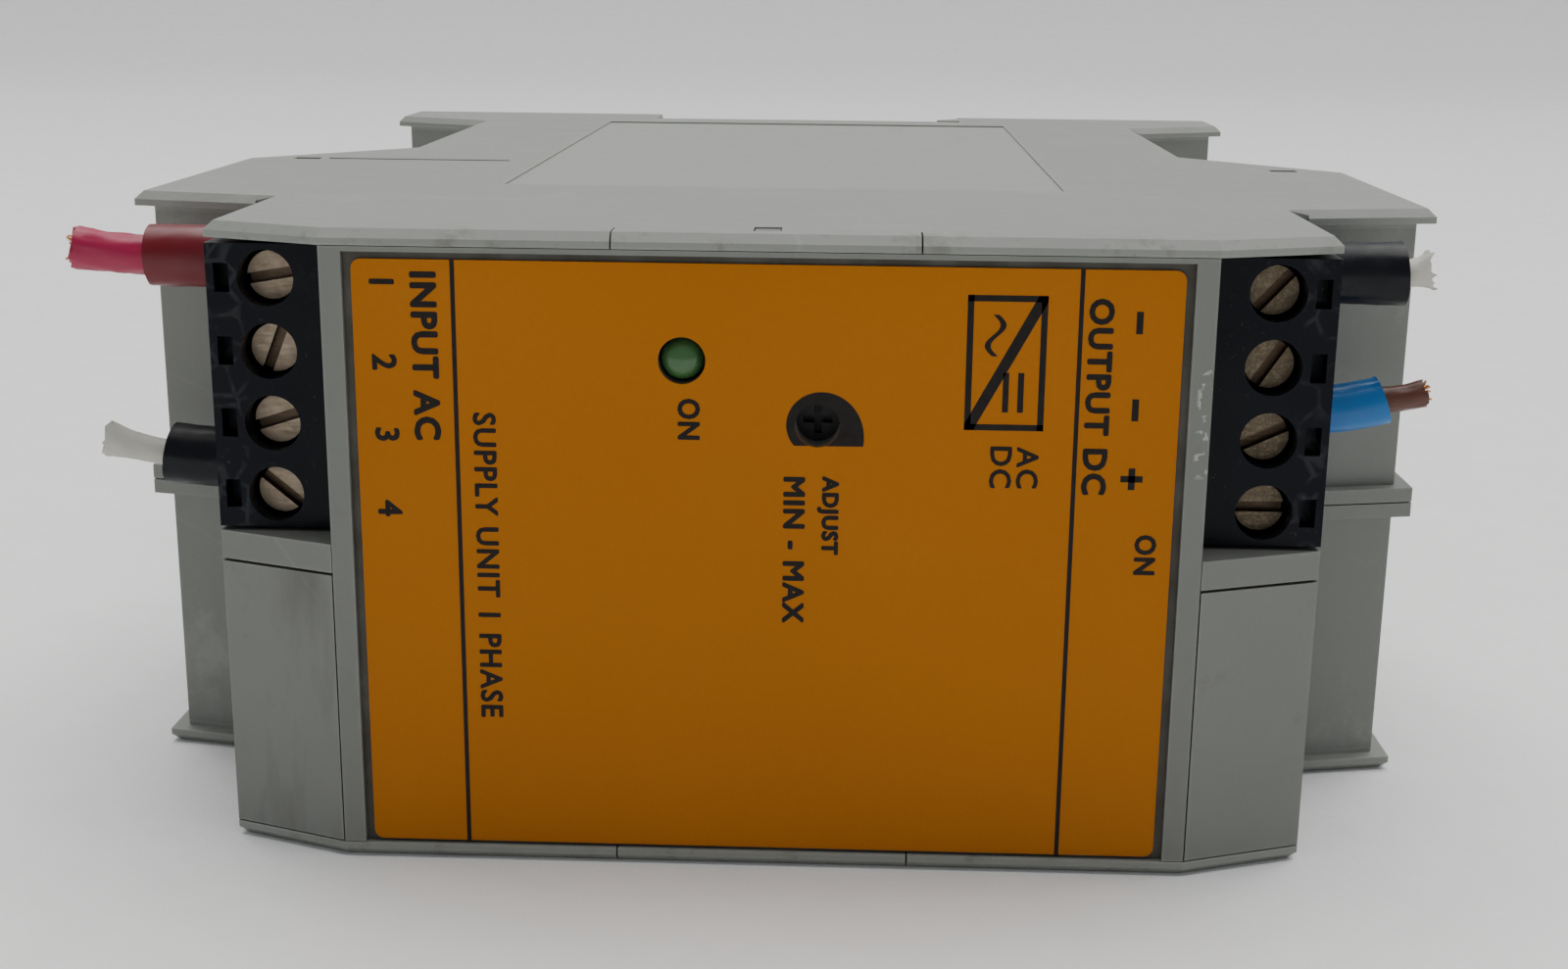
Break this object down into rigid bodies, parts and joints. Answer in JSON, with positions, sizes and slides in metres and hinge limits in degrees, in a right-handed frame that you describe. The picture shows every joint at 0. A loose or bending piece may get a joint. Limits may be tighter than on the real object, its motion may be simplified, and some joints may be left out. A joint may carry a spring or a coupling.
{
  "type": "din rail power supply",
  "caption": "Modular power supply for a 35 mm top-hat rail, with plug-in screw terminals, status lamp, voltage adjuster and a sprung rail latch.",
  "frame": {"origin": "middle of the face that seats on the rail, halfway along the width on the rail", "axes": "+Y from the front face towards the rail, +X to the output end (top when mounted), +Z along the rail, upwards with the device lying on its side"},
  "size_m": [0.1009, 0.1145, 0.045],
  "materials": {
    "housing_plastic": "fine moulded texture, slightly worn",
    "label_plate": "satin printed film",
    "lamp_lens": "tinted translucent",
    "trimmer_body": "smooth",
    "trimmer_rotor": "smooth",
    "terminal_plastic": "fine moulded",
    "contact_metal": "tinned",
    "clamp_metal": "zinc plated",
    "screw_metal": "plated, worn",
    "sleeve_red": "soft PVC",
    "sleeve_black": "soft PVC",
    "sleeve_blue": "soft PVC",
    "core_pink": "soft PVC with bared strands",
    "core_white": "soft PVC with bared strands",
    "core_brown": "soft PVC",
    "circuit_board": "solder mask",
    "fuse_ceramic": "glazed",
    "copper_winding": "enamelled wire",
    "film_capacitor": "epoxy filled",
    "capacitor_sleeve": "shrink sleeve",
    "heatsink_aluminium": "extruded",
    "semiconductor": "moulded epoxy",
    "ferrite": "sintered",
    "winding_tape": "polyester tape",
    "spring_steel": "drawn wire"
  },
  "bodies": {
    "housing": {"housing_lower": "housing_plastic", "housing_upper": "housing_plastic", "front_cover": "housing_plastic", "cover_dividers": "housing_plastic", "front_label": "label_plate", "status_led": "lamp_lens", "adjust_pot": "trimmer_body", "input_header": "terminal_plastic", "input_header_pins": "contact_metal", "input_filler": "housing_plastic", "output_header": "terminal_plastic", "output_header_pins": "contact_metal", "output_filler": "housing_plastic", "main_board": "circuit_board", "control_board": "circuit_board", "front_board": "circuit_board", "fuse": "fuse_ceramic", "line_choke": "copper_winding", "x_capacitor": "film_capacitor", "bridge_rectifier": "semiconductor", "bulk_capacitor": "capacitor_sleeve", "primary_heatsink": "heatsink_aluminium", "primary_transistor": "semiconductor", "transformer_core": "ferrite", "transformer_winding": "winding_tape", "secondary_heatsink": "heatsink_aluminium", "output_rectifier": "semiconductor", "output_capacitors": "capacitor_sleeve", "output_inductor": "copper_winding", "latch_spring": "spring_steel"},
    "input_plug": {"input_plug": "terminal_plastic", "input_contacts": "contact_metal", "input_wire_1_sleeve": "sleeve_red", "input_wire_1_core": "core_pink", "input_wire_4_sleeve": "sleeve_black", "input_wire_4_core": "core_white"},
    "input_screw_1": {"input_screw_1": "screw_metal"},
    "input_clamp_1": {"input_clamp_1": "clamp_metal"},
    "input_screw_2": {"input_screw_2": "screw_metal"},
    "input_clamp_2": {"input_clamp_2": "clamp_metal"},
    "input_screw_3": {"input_screw_3": "screw_metal"},
    "input_clamp_3": {"input_clamp_3": "clamp_metal"},
    "input_screw_4": {"input_screw_4": "screw_metal"},
    "input_clamp_4": {"input_clamp_4": "clamp_metal"},
    "output_plug": {"output_plug": "terminal_plastic", "output_contacts": "contact_metal", "output_wire_1_sleeve": "sleeve_black", "output_wire_1_core": "core_white", "output_wire_3_sleeve": "sleeve_blue", "output_wire_3_core": "core_brown"},
    "output_screw_1": {"output_screw_1": "screw_metal"},
    "output_clamp_1": {"output_clamp_1": "clamp_metal"},
    "output_screw_2": {"output_screw_2": "screw_metal"},
    "output_clamp_2": {"output_clamp_2": "clamp_metal"},
    "output_screw_3": {"output_screw_3": "screw_metal"},
    "output_clamp_3": {"output_clamp_3": "clamp_metal"},
    "output_screw_4": {"output_screw_4": "screw_metal"},
    "output_clamp_4": {"output_clamp_4": "clamp_metal"},
    "adjust_rotor": {"adjust_rotor": "trimmer_rotor"},
    "rail_latch": {"rail_latch": "housing_plastic"}
  },
  "joints": [
    {"name": "input_plug_slide", "type": "slide", "parent": "housing", "child": "input_plug", "axis": [-1, 0, 0], "range_m": [0, 0.014]},
    {"name": "input_screw_1_turn", "type": "hinge", "parent": "input_plug", "child": "input_screw_1", "pos_m": [-0.0344, -0.1, 0.01862], "axis": [0, -1, 0], "range_deg": [0, 720]},
    {"name": "input_clamp_1_slide", "type": "slide", "parent": "input_plug", "child": "input_clamp_1", "axis": [0, 1, 0], "range_m": [0, 0.001]},
    {"name": "input_screw_2_turn", "type": "hinge", "parent": "input_plug", "child": "input_screw_2", "pos_m": [-0.0344, -0.1, 0.01354], "axis": [0, -1, 0], "range_deg": [0, 720]},
    {"name": "input_clamp_2_slide", "type": "slide", "parent": "input_plug", "child": "input_clamp_2", "axis": [0, 1, 0], "range_m": [0, 0.001]},
    {"name": "input_screw_3_turn", "type": "hinge", "parent": "input_plug", "child": "input_screw_3", "pos_m": [-0.0344, -0.1, 0.00846], "axis": [0, -1, 0], "range_deg": [0, 720]},
    {"name": "input_clamp_3_slide", "type": "slide", "parent": "input_plug", "child": "input_clamp_3", "axis": [0, 1, 0], "range_m": [0, 0.001]},
    {"name": "input_screw_4_turn", "type": "hinge", "parent": "input_plug", "child": "input_screw_4", "pos_m": [-0.0344, -0.1, 0.00338], "axis": [0, -1, 0], "range_deg": [0, 720]},
    {"name": "input_clamp_4_slide", "type": "slide", "parent": "input_plug", "child": "input_clamp_4", "axis": [0, 1, 0], "range_m": [0, 0.001]},
    {"name": "output_plug_slide", "type": "slide", "parent": "housing", "child": "output_plug", "axis": [1, 0, 0], "range_m": [0, 0.014]},
    {"name": "output_screw_1_turn", "type": "hinge", "parent": "output_plug", "child": "output_screw_1", "pos_m": [0.0344, -0.1, 0.01862], "axis": [0, -1, 0], "range_deg": [0, 720]},
    {"name": "output_clamp_1_slide", "type": "slide", "parent": "output_plug", "child": "output_clamp_1", "axis": [0, 1, 0], "range_m": [0, 0.001]},
    {"name": "output_screw_2_turn", "type": "hinge", "parent": "output_plug", "child": "output_screw_2", "pos_m": [0.0344, -0.1, 0.01354], "axis": [0, -1, 0], "range_deg": [0, 720]},
    {"name": "output_clamp_2_slide", "type": "slide", "parent": "output_plug", "child": "output_clamp_2", "axis": [0, 1, 0], "range_m": [0, 0.001]},
    {"name": "output_screw_3_turn", "type": "hinge", "parent": "output_plug", "child": "output_screw_3", "pos_m": [0.0344, -0.1, 0.00846], "axis": [0, -1, 0], "range_deg": [0, 720]},
    {"name": "output_clamp_3_slide", "type": "slide", "parent": "output_plug", "child": "output_clamp_3", "axis": [0, 1, 0], "range_m": [0, 0.001]},
    {"name": "output_screw_4_turn", "type": "hinge", "parent": "output_plug", "child": "output_screw_4", "pos_m": [0.0344, -0.1, 0.00338], "axis": [0, -1, 0], "range_deg": [0, 720]},
    {"name": "output_clamp_4_slide", "type": "slide", "parent": "output_plug", "child": "output_clamp_4", "axis": [0, 1, 0], "range_m": [0, 0.001]},
    {"name": "adjust_turn", "type": "hinge", "parent": "housing", "child": "adjust_rotor", "pos_m": [0.00356, -0.1, 0.00965], "axis": [0, 1, 0], "range_deg": [-135, 135]},
    {"name": "rail_latch_slide", "type": "slide", "parent": "housing", "child": "rail_latch", "axis": [-1, 0, 0], "range_m": [0, 0.004], "stiffness_N_per_m": 400, "springref_m": -0.01, "deforming": ["latch_spring"]}
  ],
  "couplings": [
    {"joint": "input_screw_1_turn", "follows": "input_clamp_1_slide", "rad_per_m": 12566},
    {"joint": "input_screw_2_turn", "follows": "input_clamp_2_slide", "rad_per_m": 12566},
    {"joint": "input_screw_3_turn", "follows": "input_clamp_3_slide", "rad_per_m": 12566},
    {"joint": "input_screw_4_turn", "follows": "input_clamp_4_slide", "rad_per_m": 12566},
    {"joint": "output_screw_1_turn", "follows": "output_clamp_1_slide", "rad_per_m": 12566},
    {"joint": "output_screw_2_turn", "follows": "output_clamp_2_slide", "rad_per_m": 12566},
    {"joint": "output_screw_3_turn", "follows": "output_clamp_3_slide", "rad_per_m": 12566},
    {"joint": "output_screw_4_turn", "follows": "output_clamp_4_slide", "rad_per_m": 12566}
  ]
}
